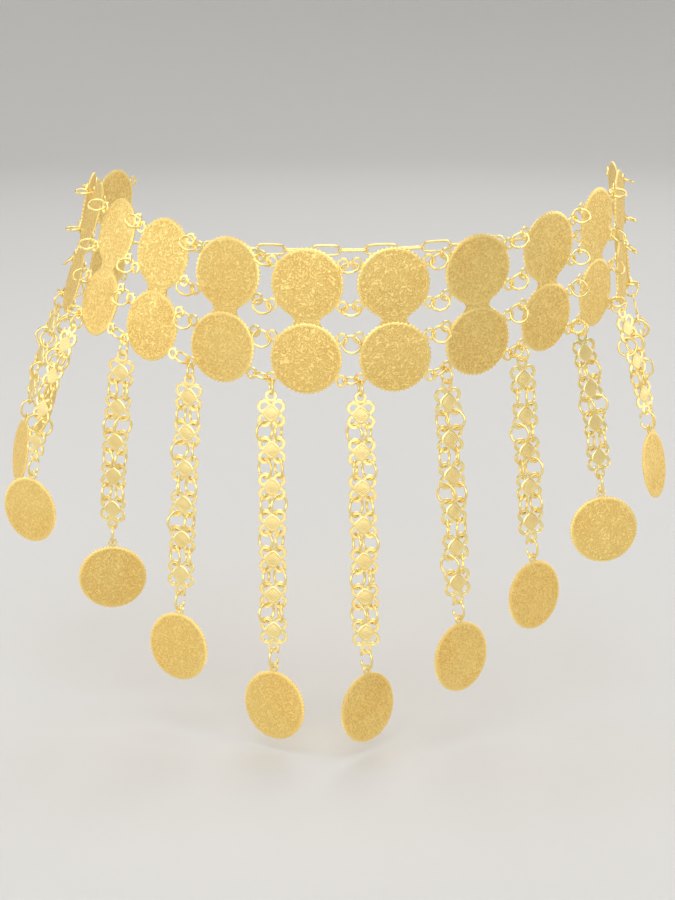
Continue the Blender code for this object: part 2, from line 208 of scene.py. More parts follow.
# Places in metres, sizes in metres and power in watts
LIGHTS = [
    LightRow("Key light", (-0.15, -2.2, 0.56), 2.75, 1.5, 24.5),
    LightRow("Left light", (-2.3, -0.15, 0.51), 2.6, 1.45, 15.0),
    LightRow("Right light", (2.3, 0.55, 0.43), 2.05, 1.3, 11.5),
    LightRow("Top light", (0.0, -0.2, 1.7), 1.6, 1.6, 13.0),
    LightRow("Back light", (0.3, 2.2, 1.7), 1.6, 1.6, 16.0),
]
LIGHT_AIM = (0, -0.1, -0.06)
SKY_COLOUR = (1.0, 0.98, 0.95, 1)
SKY_STRENGTH = 0.75

CAMERA_PLACE = (-0.0026, -0.9276, 0.1356)
CAMERA_DIP = math.radians(15.66)
CAMERA_TURN = math.radians(0.29)
CAMERA_LENS = 68
CAMERA_SENSOR = 36

FLOOR_GAP = 6 * MM
FLOOR_RADIUS = 2.6
FLOOR_BEND = 1.2
FLOOR_BEND_STEPS = 12
FLOOR_STEPS = 96
BACKDROP_HEIGHT = 4.0


def waist_path():
    """Arc length from the middle of the front, and the place there."""
    turn = np.linspace(-math.pi, math.pi, PATH_STEPS + 1)
    depth = np.where(np.cos(turn) > 0, WAIST_FRONT_DEPTH, WAIST_BACK_DEPTH)
    x = WAIST_HALF_WIDTH * np.sin(turn)
    y = -depth * np.cos(turn)
    arc = np.concatenate([[0], np.cumsum(np.hypot(np.diff(x), np.diff(y)))])
    return arc - arc[PATH_STEPS // 2], x, y


PATH_ARC, PATH_X, PATH_Y = waist_path()
HALF_GIRTH = PATH_ARC[-1]


def belt_height(arc):
    """Height of the belt's middle: it sags in front and behind, and rides up on the right."""
    along = abs(arc)
    rise = SIDE_RISE * float(np.interp(arc, PATH_ARC, PATH_X)) / WAIST_HALF_WIDTH
    if along < SIDE_REACH:
        return rise - FRONT_SAG * math.cos(math.pi / 2 * along / SIDE_REACH) ** 2
    back = (HALF_GIRTH - along) / (HALF_GIRTH - SIDE_REACH)
    return rise - BACK_SAG * math.cos(math.pi / 2 * back) ** 2


def belt_point(arc):
    arc = (arc + HALF_GIRTH) % (2 * HALF_GIRTH) - HALF_GIRTH
    x = float(np.interp(arc, PATH_ARC, PATH_X))
    y = float(np.interp(arc, PATH_ARC, PATH_Y))
    return Vector((x, y, belt_height(arc)))


def belt_heading(arc):
    """Angle of the path from +X, which is also how far a plate there faces to the right."""
    step = belt_point(arc + MM) - belt_point(arc - MM)
    return math.atan2(step.y, step.x)


def frame_down(point, heading, down):
    """A piece's frame: x along its width, y inwards, z against the way that it hangs."""
    up = -down.normalized()
    across = Vector((math.cos(heading), math.sin(heading), 0))
    across = (across - across.dot(up) * up).normalized()
    inwards = up.cross(across)
    turn = Matrix((across, inwards, up)).transposed()
    return Matrix.Translation(point) @ turn.to_4x4()


def hang_direction(heading, lean, sway):
    """Way down along something that leans outwards and sways sideways."""
    outwards = Vector((math.sin(heading), -math.cos(heading), 0))
    sideways = Vector((math.cos(heading), math.sin(heading), 0))
    down = Vector((0, 0, -1))
    return (down + math.tan(lean) * outwards + math.tan(sway) * sideways).normalized()


def plate_frame(row, arc):
    """A plate's frame: it turns with the belt's slope, but less than that, because it hangs."""
    heading = belt_heading(arc) + math.radians(row.turn)
    rise = belt_height(arc + MM) - belt_height(arc - MM)
    tilt = SLOPE_SHARE * math.atan2(rise, 2 * MM)
    down = hang_direction(heading, math.radians(row.lean), tilt)
    return frame_down(belt_point(arc), heading, down)


def eyelet_centre(side, coin, end):
    """An eyelet's place on its plate: side right or left, coin upper or lower, end up or down."""
    across = side * EYELET_REACH * math.cos(EYELET_ANGLE)
    height = coin * COIN_SPACING / 2 + end * EYELET_REACH * math.sin(EYELET_ANGLE)
    return across, height


def widest_gap(right, left):
    """Largest distance between the facing eyelets of two neighbouring plates."""
    gaps = []
    for row in TIES:
        across, height = eyelet_centre(1, row.coin, row.end)
        gaps.append((right @ Vector((-across, 0, height)) - left @ Vector((across, 0, height))).length)
    return max(gaps)


def lay_plates():
    """Every plate's arc and frame, each so far from the last that its widest tie is taut."""
    rows = {row.place: row for row in PLATES}
    arcs = {0: BELT_SHIFT}
    frames = {0: plate_frame(rows[0], BELT_SHIFT)}
    for way in (1, -1):
        place = way
        while place in rows:
            last = frames[place - way]
            near, far = COIN_RADIUS, 4 * COIN_RADIUS
            while far - near > MM / 1000:
                pitch = (near + far) / 2
                plate = plate_frame(rows[place], arcs[place - way] + way * pitch)
                gap = widest_gap(plate, last) if way > 0 else widest_gap(last, plate)
                near, far = (pitch, far) if gap < TAUT_GAP else (near, pitch)
            arcs[place] = arcs[place - way] + way * near
            frames[place] = plate_frame(rows[place], arcs[place])
            place += way
    return arcs, frames


PLATE_ARCS, PLATE_FRAMES = lay_plates()


def tie_ring(right, left, row, radius, droop):
    """Frame of the jump ring between two plates' eyelets, which lies in front and droops."""
    across, height = eyelet_centre(1, row.coin, row.end)
    near = right @ Vector((-across - TIE_SEAT, 0, height))
    far = left @ Vector((across + TIE_SEAT, 0, height))
    chord = (far - near).length
    way = (far - near).normalized()
    inwards = (right.to_3x3() + left.to_3x3()) @ Vector((0, 1, 0))
    level = way.cross(inwards).cross(way).normalized()
    below = way.cross(level)
    below *= -math.copysign(1, below.z)
    outwards = -math.cos(droop) * level + math.sin(droop) * below
    middle = (near + far) / 2 + outwards * math.sqrt(max(0.0, radius**2 - chord**2 / 4))
    turn = Matrix((way.cross(outwards), way, outwards)).transposed().to_4x4()
    return Matrix.Translation(middle) @ turn


class Strand:
    """The line along which a strand hangs, with its pieces' frames."""

    def __init__(self, row, frames):
        self.row = row
        across, height = eyelet_centre(-1, *STRAND_EYELET)
        plate = frames[row.plate]
        self.hook = plate @ Vector((across, 0, height - BAND_MIDDLE))
        sideways = plate.to_3x3() @ Vector((1, 0, 0))
        self.heading = math.atan2(sideways.y, sideways.x)
        self.length = FIRST_LINK + (row.links - 1) * LINK_PITCH + END_RING_DROP

    def down(self, drop):
        share = min(drop / self.length, 1)
        lean = self.row.lean_top + (self.row.lean_end - self.row.lean_top) * share
        return hang_direction(self.heading, math.radians(lean), math.radians(self.row.sway))

    def point(self, drop):
        steps = max(1, round(drop / MM))
        step = drop / steps
        place = self.hook.copy()
        for n in range(steps):
            place += self.down((n + 0.5) * step) * step
        return place

    def frame(self, drop, turn=0.0):
        return frame_down(self.point(drop), self.heading + math.radians(turn), self.down(drop))

    def link_drop(self, number):
        return FIRST_LINK + number * LINK_PITCH

    def end_frame(self):
        """Frame at the middle of the end ring's round foot, turned as the pendant faces."""
        facing = math.radians(self.row.facing)
        return frame_down(self.point(self.length), facing, self.down(self.length))


def top_ring_drop():
    """How far below its axis the top ring's middle lies."""
    flat = RING_RADIUS * math.cos(math.pi / 6) ** 0.5 - WIRE_CORNER / 2 * WIRE_RADIUS
    return flat - TOP_RING_PLAY - (EYELET_RADIUS - EYELET_HOLE) / 2


def closure_nodes(arcs, frames):
    """Places along the back of the waist where the closure's links meet."""
    across, height = eyelet_centre(1, *CLOSURE_EYELET)
    right, left = PLATES[-1].place, PLATES[0].place
    start_arc = arcs[right] + across
    finish_arc = arcs[left] - across + 2 * HALF_GIRTH
    nodes = [frames[right] @ Vector((across, 0, height))]
    for n in range(1, CLOSURE_LINKS):
        arc = start_arc + (finish_arc - start_arc) * n / CLOSURE_LINKS
        nodes.append(belt_point(arc) + Vector((0, 0, height)))
    return nodes + [frames[left] @ Vector((-across, 0, height))]


def closure_frame(near, far, level):
    """Frame of a link between two places, with its wire level or upright."""
    way = (far - near).normalized()
    aside = way.cross(Vector((0, 0, 1))).normalized()
    upright = aside.cross(way)
    axis = upright if level else aside
    turn = Matrix((axis, way.cross(axis), way)).transposed().to_4x4()
    return Matrix.Translation((near + far) / 2) @ turn


class CoinSizes(bpy.types.PropertyGroup):
    """Sizes of the stamped coins, which a user may change."""

    plate_teeth: IntProperty(
        name="Plate coin teeth", description="Scallops round each coin of a plate",
        default=49, min=12, max=90)
    pendant_teeth: IntProperty(
        name="Pendant teeth", description="Finer scallops round each pendant coin",
        default=64, min=12, max=90)
    tooth_depth: FloatProperty(
        name="Tooth depth", description="How far the scallops cut into a coin's edge",
        default=0.75 * MM, unit="LENGTH")
    sheet: FloatProperty(
        name="Sheet", description="Thickness of the stamped sheet",
        default=0.85 * MM, unit="LENGTH")
    relief: FloatProperty(
        name="Relief", description="Height of the stamped pattern",
        default=0.1 * MM, unit="LENGTH")
    crown: FloatProperty(
        name="Crown", description="How far a coin's middle stands proud of its edge",
        default=0.35 * MM, unit="LENGTH")


class LinkSizes(bpy.types.PropertyGroup):
    """Sizes of the lobed links and rings, which a user may change."""

    lobe_hole: FloatProperty(
        name="Lobe hole", description="Radius of the hole in each lobe of a link",
        default=1.75 * MM, unit="LENGTH")
    pad_width: FloatProperty(
        name="Pad width", description="Width of the raised pad on each link",
        default=8.7 * MM, unit="LENGTH")
    pad_height: FloatProperty(
        name="Pad height", description="Height of the raised pad on each link",
        default=9.3 * MM, unit="LENGTH")
    tab_hole: FloatProperty(
        name="Tab hole", description="Radius of the hole in the ring at a strand's ends",
        default=1.55 * MM, unit="LENGTH")
    tie_ring: FloatProperty(
        name="Tie ring", description="Radius of the rings between plates, at their wire's middle",
        default=4.3 * MM, unit="LENGTH")
    pair_ring: FloatProperty(
        name="Pair ring", description="Radius of the rings between links, at their wire's middle",
        default=4.7 * MM, unit="LENGTH")
    pair_wire: FloatProperty(
        name="Pair wire", description="Radius of the wire of the rings between links",
        default=0.66 * MM, unit="LENGTH")


class GoldColours(bpy.types.PropertyGroup):
    """Colours of the gold finishes, which a user may change."""

    face: FloatVectorProperty(
        name="Coin gold", description="Colour of the stamped coins",
        subtype="COLOR", size=3, min=0, max=1, default=(1.0, 0.77, 0.29))
    # Painted shade: the colour that the coins' relief hollows are darkened to, in place of the shade
    # that falls in them
    painted_hollow_shade: FloatVectorProperty(
        name="Recess", description="Colour in the hollows of the coins' relief",
        subtype="COLOR", size=3, min=0, max=1, default=(0.64, 0.40, 0.10))
    link: FloatVectorProperty(
        name="Link gold", description="Colour of the lobed links",
        subtype="COLOR", size=3, min=0, max=1, default=(1.0, 0.86, 0.42))
    wire: FloatVectorProperty(
        name="Wire gold", description="Colour of the rings and the closing chain",
        subtype="COLOR", size=3, min=0, max=1, default=(1.0, 0.82, 0.34))
    floor: FloatVectorProperty(
        name="Floor", description="Colour of the studio floor",
        subtype="COLOR", size=3, min=0, max=1, default=(0.62, 0.615, 0.605))


class Value:
    """A shader socket in an expression: the operators on it add Math nodes."""

    def __init__(self, shade, socket):
        self.shade = shade
        self.socket = socket

    def __add__(self, other):
        return self.shade.math("ADD", self, other)

    def __radd__(self, other):
        return self.shade.math("ADD", other, self)

    def __sub__(self, other):
        return self.shade.math("SUBTRACT", self, other)

    def __rsub__(self, other):
        return self.shade.math("SUBTRACT", other, self)

    def __mul__(self, other):
        return self.shade.math("MULTIPLY", self, other)

    def __rmul__(self, other):
        return self.shade.math("MULTIPLY", other, self)

    def __abs__(self):
        return self.shade.math("ABSOLUTE", self)

    def ramp(self, low, high):
        """Smooth step from nought at low to one at high."""
        node = self.shade.node(
            "ShaderNodeMapRange", {"interpolation_type": "SMOOTHSTEP"},
            {"Value": self, "From Min": low, "From Max": high, "To Min": 0.0, "To Max": 1.0})
        return node.value()

    def line(self, middle, width):
        """One on a line where the value is middle, falling to nought half a width away."""
        return 1 - abs(self - middle).ramp(0.25 * width, 0.5 * width)


class Made:
    """A node that a Shade has made, whose outputs are read by name."""

    def __init__(self, shade, node):
        self.shade = shade
        self.node = node

    def value(self, name=None):
        outputs = [s for s in self.node.outputs if s.enabled and name in (None, s.name)]
        return Value(self.shade, outputs[0])


class Shade:
    """A material that is being made, node by node."""

    def __init__(self, name):
        self.material = bpy.data.materials.new(name)
        self.material.use_nodes = True
        self.tree = self.material.node_tree
        self.tree.nodes.clear()

    def node(self, kind, settings=None, sockets=None):
        """A node with its settings, then the values or links of its sockets."""
        node = self.tree.nodes.new(kind)
        for name, setting in (settings or {}).items():
            setattr(node, name, setting)
        for name, given in (sockets or {}).items():
            if isinstance(name, int):
                socket = node.inputs[name]
            else:
                socket = next(s for s in node.inputs if s.enabled and s.name == name)
            if isinstance(given, Value):
                self.tree.links.new(given.socket, socket)
            else:
                socket.default_value = given
        return Made(self, node)

    def math(self, operation, *values):
        made = self.node("ShaderNodeMath", {"operation": operation}, dict(enumerate(values)))
        return made.value()

    def mix(self, factor, first, second):
        """Blend of two colours, each a value or a plain colour."""
        colours = [c if isinstance(c, Value) else (*c, 1) for c in (first, second)]
        node = self.node(
            "ShaderNodeMix", {"data_type": "RGBA"},
            {"Factor": factor, "A": colours[0], "B": colours[1]})
        return node.value("Result")

    def noise(self, vector, scale, detail=2.0, distortion=0.0):
        node = self.node(
            "ShaderNodeTexNoise", {},
            {"Vector": vector, "Scale": scale, "Detail": detail, "Distortion": distortion})
        return node.value("Fac")

    def place(self):
        """The place on the piece, in metres."""
        return self.node("ShaderNodeTexCoord").value("Object")

    def finish(self, colour, roughness, height, depth):
        """Closes the material as a polished metal with the given relief."""
        bump = self.node(
            "ShaderNodeBump", {}, {"Strength": 1.0, "Distance": depth, "Height": height})
        shader = self.node("ShaderNodeBsdfPrincipled", {}, {
            "Base Color": colour, "Metallic": 1.0, "Roughness": roughness,
            "Normal": bump.value("Normal")})
        self.node("ShaderNodeOutputMaterial", {}, {"Surface": shader.value("BSDF")})
        return self.material


RELIEF_UV = "relief_place"


def stamped_gold(name, face, painted_hollow_shade, swirl, depth, dullness):
    """Coin gold: curls and dots in low relief, inside a fine line and a plain edge.

    Swirl is how fine the curls are, depth how strongly painted shade darkens their hollows, dullness
    the field's roughness.
    """
    shade = Shade(name)
    place = shade.place()
    flat = shade.node("ShaderNodeUVMap", {"uv_map": RELIEF_UV}).value("UV")
    radius = shade.node("ShaderNodeVectorMath", {"operation": "LENGTH"}, {0: flat}).value("Value")
    axes = shade.node("ShaderNodeSeparateXYZ", {}, {"Vector": flat})
    across, upwards = axes.value("X"), axes.value("Y")
    apart = 3.5 * shade.node("ShaderNodeSeparateXYZ", {}, {"Vector": place}).value("X")
    spot = shade.node("ShaderNodeCombineXYZ", {}, {"X": across, "Y": upwards, "Z": apart}).value()

    curl = abs(shade.noise(spot, swirl, 1.0, 0.9) - 0.5)
    strokes = 1 - curl.ramp(0.035, 0.085)
    dots = shade.noise(spot, 2.1 * swirl, 0.0).ramp(0.6, 0.7)
    field = 1 - radius.ramp(0.9, 0.94)
    border = radius.line(0.905, 0.02)
    relief = shade.math("MINIMUM", (strokes + dots * 0.6) * field + border, 1.0)

    tone = shade.noise(place, 38.0, 2.0)
    grain = shade.noise(place, 2400.0, 2.0)
    hollow = (1 - relief) * field
    worn = [0.94 * face[0], 0.88 * face[1], 0.8 * face[2]]
    base = shade.mix(tone.ramp(0.3, 0.7) * 0.35, face, worn)
    # Painted shade: the relief's hollows are darkened towards the hollow shade colour, by the depth
    # share, standing in for the shade that falls in the recesses
    colour = shade.mix(hollow * depth * (0.7 + 0.6 * tone), base, painted_hollow_shade)
    roughness = dullness + 0.12 * hollow + 0.12 * tone.ramp(0.35, 0.75) + 0.05 * grain
    return shade.finish(colour, roughness, relief + 0.06 * grain, 0.3 * MM)


def polished_gold(name, colour, roughness, brush):
    """Plain gold with faint brushing, small dents and darker patches."""
    shade = Shade(name)
    place = shade.place()
    tone = shade.noise(place, 95.0, 3.0)
    dents = shade.noise(place, 480.0, 1.0)
    stretch = shade.node(
        "ShaderNodeMapping", {}, {"Vector": place, "Scale": (1.0, 1.0, 0.22)}).value()
    lines = shade.noise(stretch, 3200.0, 2.0)
    dark = [0.9 * colour[0], 0.80 * colour[1], 0.66 * colour[2]]
    base = shade.mix(tone.ramp(0.38, 0.68) * 0.55, colour, dark)
    rough = roughness + 0.12 * tone.ramp(0.4, 0.7) + 0.06 * lines
    return shade.finish(base, rough, dents * 0.5 + lines * brush, 0.12 * MM)


def pad_gold(name, colour):
    """Gold of the links' raised pads: fine slanting lines inside an engraved border."""
    shade = Shade(name)
    place = shade.place()
    flat = shade.node("ShaderNodeUVMap", {"uv_map": RELIEF_UV}).value("UV")
    radius = shade.node("ShaderNodeVectorMath", {"operation": "LENGTH"}, {0: flat}).value("Value")
    axes = shade.node("ShaderNodeSeparateXYZ", {}, {"Vector": flat})
    slant = axes.value("Y") * 0.87 - axes.value("X") * 0.5
    hatch = shade.math("SINE", slant * 34.0).ramp(-0.3, 0.8) * (1 - radius.ramp(0.7, 0.78))
    border = radius.line(0.82, 0.08)
    grain = shade.noise(place, 2600.0, 2.0)
    tone = shade.noise(place, 70.0, 2.0)
    dark = [0.80 * colour[0], 0.56 * colour[1], 0.3 * colour[2]]
    shadow = shade.math("MAXIMUM", hatch, border)
    base = shade.mix(shadow * 0.5 + tone.ramp(0.45, 0.75) * 0.2, colour, dark)
    roughness = 0.3 + 0.08 * grain + 0.1 * shadow
    return shade.finish(base, roughness, 0.12 * grain - shadow, 0.14 * MM)


def matte(name, colour):
    """Plain studio paper with a very faint grain."""
    shade = Shade(name)
    grain = shade.noise(shade.place(), 260.0, 3.0)
    pale = [min(1, 1.02 * c) for c in colour]
    shader = shade.node("ShaderNodeBsdfPrincipled", {}, {
        "Base Color": shade.mix(grain, colour, pale), "Roughness": 0.9})
    shade.node("ShaderNodeOutputMaterial", {}, {"Surface": shader.value("BSDF")})
    return shade.material


SHARP = math.radians(38)


def keep_form(name, bm):
    """Stores a finished shape, smooth with sharp corners, for stamping into pieces."""
    bmesh.ops.recalc_face_normals(bm, faces=bm.faces)
    for face in bm.faces:
        face.smooth = True
    for edge in bm.edges:
        edge.smooth = edge.calc_face_angle(math.pi) < SHARP
    form = bpy.data.meshes.new(name)
    bm.to_mesh(form)
    bm.free()
    return form


def stamp(bm, form, place, material=0):
    """Adds a copy of a form to a piece, at a place and with one of the piece's materials."""
    verts, faces = len(bm.verts), len(bm.faces)
    bm.from_mesh(form)
    bm.verts.ensure_lookup_table()
    bm.faces.ensure_lookup_table()
    bmesh.ops.transform(bm, matrix=place, verts=bm.verts[verts:])
    if material:
        for face in bm.faces[faces:]:
            face.material_index = material


def spin_section(bm, points, steps, closed, angle=2 * math.pi):
    """Spins a section, given as radius and depth, about the y axis."""
    verts = [bm.verts.new((radius, depth, 0)) for radius, depth in points]
    pairs = list(zip(verts, verts[1:])) + ([(verts[-1], verts[0])] if closed else [])
    edges = [bm.edges.new(pair) for pair in pairs]
    full = abs(angle) >= 2 * math.pi
    swept = bmesh.ops.spin(
        bm, geom=verts + edges, cent=(0, 0, 0), axis=(0, 1, 0), dvec=(0, 0, 0),
        angle=angle, steps=steps, use_merge=full)
    if not full:
        bm.faces.new(verts)
        bm.faces.new([g for g in swept["geom_last"] if isinstance(g, bmesh.types.BMVert)])
    bmesh.ops.remove_doubles(bm, verts=bm.verts, dist=MM / 1000)


def lay_relief(bm, half_width, half_height):
    """A UV map in a coin's or pad's own radii, with its middle at nought."""
    layer = bm.loops.layers.uv.new(RELIEF_UV)
    for face in bm.faces:
        for loop in face.loops:
            place = loop.vert.co
            loop[layer].uv = (place.x / half_width, place.z / half_height)


TOOTHED_EDGE = 0.8 * MM
RELIEF_RINGS = (0, 0.05, 0.1, 0.15, 0.2, 0.25, 0.3, 0.345, 0.39, 0.44, 0.49, 0.54, 0.59, 0.64, 0.69,
                0.74, 0.79, 0.84, 0.885)


def line_height(distance, half_width):
    """Height of a rounded line at a distance from its middle, from one down to nought."""
    share = min(1.0, abs(distance) / half_width)
    return 1 - share * share * (3 - 2 * share)


def stamped_height(reach, angle):
    """Height of the stamped pattern: a rosette, two fine rings and a braid of two waves."""
    petals = math.cos(8 * angle)
    rosette = line_height(reach - 0.19 - 0.055 * petals, 0.06) + line_height(reach, 0.08)
    rings = line_height(reach - 0.345, 0.035) + line_height(reach - 0.885, 0.03)
    wave = 0.12 * math.cos(14 * angle + 3 * math.sin(2 * angle))
    braid = line_height(reach - 0.615 - wave, 0.06) + line_height(reach - 0.615 + wave, 0.06)
    return min(1.0, rosette + rings + 0.7 * braid)


def coin_form(radius, teeth, sizes):
    """A stamped coin with a toothed edge, low relief in front and a slightly crowned field."""
    half = sizes.sheet / 2
    edge, soft, corner = 1.25 * MM, 0.2 * MM, 0.16 * MM
    rim = [(radius - edge, -half), (radius - soft, 0.06 * MM - half), (radius, corner - half),
           (radius, half - corner), (radius - soft, half), (radius - edge, half)]
    front = [(share * radius, -half) for share in RELIEF_RINGS]
    back = [(share * radius, half) for share in (0.885, 0.6, 0.3, 0)]
    bm = bmesh.new()
    spin_section(bm, front + rim + back, 4 * teeth, False)
    for vert in bm.verts:
        reach = math.hypot(vert.co.x, vert.co.z)
        angle = math.atan2(vert.co.z, vert.co.x)
        if vert.co.y < 0:
            vert.co.y -= sizes.relief * stamped_height(reach / radius, angle)
        if reach > radius - TOOTHED_EDGE:
            tooth = abs(2 * (teeth * angle / (2 * math.pi) % 1) - 1)
            scale = 1 - sizes.tooth_depth * line_height(1 - tooth, 1.0) / reach
            vert.co.x *= scale
            vert.co.z *= scale
        vert.co.y -= sizes.crown * max(0.0, 1 - (reach / radius) ** 2)
    lay_relief(bm, radius, radius)
    return keep_form("coin", bm)


def band_form(name, inner, outer, thickness, steps, raised=0.0):
    """A flat ring of sheet with soft corners; its two edges can stand proud in front."""
    half = thickness / 2
    soft = 0.18 * MM
    width = outer - inner
    front = [(inner, -half + soft), (inner + soft, -half - raised)]
    if raised:
        front += [(inner + 0.24 * width, -half - raised), (inner + 0.36 * width, -half),
                  (inner + 0.64 * width, -half), (inner + 0.76 * width, -half - raised)]
    front += [(outer - soft, -half - raised), (outer, -half + soft)]
    section = front + [(outer, half - soft), (outer - soft, half), (inner + soft, half),
                       (inner, half - soft)]
    bm = bmesh.new()
    spin_section(bm, section, steps, True)
    lay_relief(bm, outer, outer)
    return keep_form(name, bm)


def wire_form(name, radius, wire, cut, steps=RING_STEPS, spread=0.0):
    """A ring of round wire whose axis is x, made long by a spread along z, with a cut in it."""
    points = []
    for n in range(WIRE_SIDES):
        angle = 2 * math.pi * n / WIRE_SIDES
        points.append((radius + wire * math.cos(angle), wire * math.sin(angle)))
    bm = bmesh.new()
    spin_section(bm, points, steps, True, 2 * math.pi - cut)
    bmesh.ops.rotate(bm, cent=(0, 0, 0), matrix=Matrix.Rotation(cut / 2, 3, "Y"), verts=bm.verts)
    bmesh.ops.rotate(
        bm, cent=(0, 0, 0), matrix=Matrix.Rotation(math.pi / 2, 3, "Z"), verts=bm.verts)
    if spread:
        for vert in bm.verts:
            vert.co.z += math.copysign(min(spread, 4 * abs(vert.co.z)), vert.co.z)
    lay_relief(bm, radius, radius)
    return keep_form(name, bm)


def neck_form(sizes):
    """The sheet that joins a plate's coins, with a round notch on each side."""
    notch, middle = 2.5 * MM, 8.7 * MM
    corner, top = 6.6 * MM, 3.4 * MM
    half = sizes.sheet / 2 - 0.04 * MM
    reach = math.radians(64)
    outline = []
    for side in (1, -1):
        for n in range(9):
            angle = math.pi - side * reach * (n / 4 - 1)
            outline.append((side * (middle + notch * math.cos(angle)), notch * math.sin(angle)))
        outline.append((side * corner, side * top))
    bm = bmesh.new()
    ring = [bm.verts.new((x, half, z)) for x, z in outline]
    face = bm.faces.new(ring)
    pulled = bmesh.ops.extrude_face_region(bm, geom=[face], use_keep_orig=True)
    moved = [g for g in pulled["geom"] if isinstance(g, bmesh.types.BMVert)]
    bmesh.ops.translate(bm, verts=moved, vec=(0, -2 * half, 0))
    lay_relief(bm, COIN_RADIUS, COIN_RADIUS)
    return keep_form("neck", bm)


def pad_form(width, height):
    """A crowned pad shaped as a diamond with round corners, with a raised edge.

    The section is given as shares of the pad's radius, and depths in millimetres.
    """
    roundness = 1.45
    section = [(0, -0.95), (0.3, -0.93), (0.55, -0.86), (0.72, -0.78), (0.82, -0.84), (0.93, -0.8),
             (1.0, -0.6), (0.98, -0.38), (0.5, -0.34), (0, -0.34)]
    bm = bmesh.new()
    spin_section(bm, [(r * MM, y * MM) for r, y in section], 32, False)
    lay_relief(bm, MM, MM)
    for vert in bm.verts:
        angle = math.atan2(vert.co.z, vert.co.x)
        across = abs(math.cos(angle) / (width / 2)) ** roundness
        upwards = abs(math.sin(angle) / (height / 2)) ** roundness
        scale = (across + upwards) ** (-1 / roundness) / MM
        vert.co.x *= scale
        vert.co.z *= scale
    return keep_form("pad", bm)


def close_piece(name, bm, materials, node, body):
    """Makes a piece that rides on a body and stands for its solid."""
    mesh = bpy.data.meshes.new(name)
    bm.to_mesh(mesh)
    bm.free()
    for material in materials:
        mesh.materials.append(material)
    piece = bpy.data.objects.new(name, mesh)
    bpy.context.collection.objects.link(piece)
    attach(piece, body)
    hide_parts(node)
    return piece


def shift(x=0.0, y=0.0, z=0.0):
    return Matrix.Translation((x, y, z))


def turned(degrees, axis):
    return Matrix.Rotation(math.radians(degrees), 4, axis)


class WAIST_OT_plates(bpy.types.Operator):
    """Makes the double coin plates with their eyelets and jump rings"""

    bl_idname = "waist.plates"
    bl_label = "Coin plates"

    def execute(self, context):
        sizes = context.scene.coin_sizes
        gold = context.scene.gold_colours
        materials = [
            # The fourth number is how strongly painted shade darkens the plate coins' hollows
            stamped_gold("Plate coin gold", gold.face, gold.painted_hollow_shade, 10.5, 0.52, 0.38),
            polished_gold("Plate wire gold", gold.wire, 0.2, 0.15),
        ]
        coin = coin_form(COIN_RADIUS + PLATE_TOOTH_REACH, sizes.plate_teeth, sizes)
        neck = neck_form(sizes)
        eyelet = band_form("eyelet", EYELET_HOLE, EYELET_RADIUS, EYELET_SHEET, 28)
        for number, row in enumerate(PLATES, 1):
            place = PLATE_FRAMES[row.place]
            bm = bmesh.new()
            for end in (1, -1):
                stamp(bm, coin, place @ shift(z=end * COIN_SPACING / 2))
                for side in (1, -1):
                    for tip in (1, -1):
                        x, z = eyelet_centre(side, end, tip)
                        stamp(bm, eyelet, place @ shift(x, z=z), 1)
            stamp(bm, neck, place)
            if number > 1:
                self.add_ties(context, bm, number, place, PLATE_FRAMES[row.place - 1])
            close_piece(
                f"coin_plate_{number:02d}", bm, materials, f"plate_{number:02d}", "belt")
        return {"FINISHED"}

    def add_ties(self, context, bm, number, right, left):
        """The four jump rings to the plate on the left, each turned a little differently."""
        for n, row in enumerate(TIES):
            radius = row.size * context.scene.link_sizes.tie_ring
            ring = wire_form("tie", radius, WIRE_RADIUS, TIE_CUT)
            wander = WANDER_STEP * ((number * 3 + n * 5) % WANDER_RANGE - WANDER_RANGE // 2)
            place = tie_ring(right, left, row, radius, math.radians(row.tilt + wander))
            stamp(bm, ring, place @ turned(row.cut + 2 * wander, "X"), 1)
            bpy.data.meshes.remove(ring)


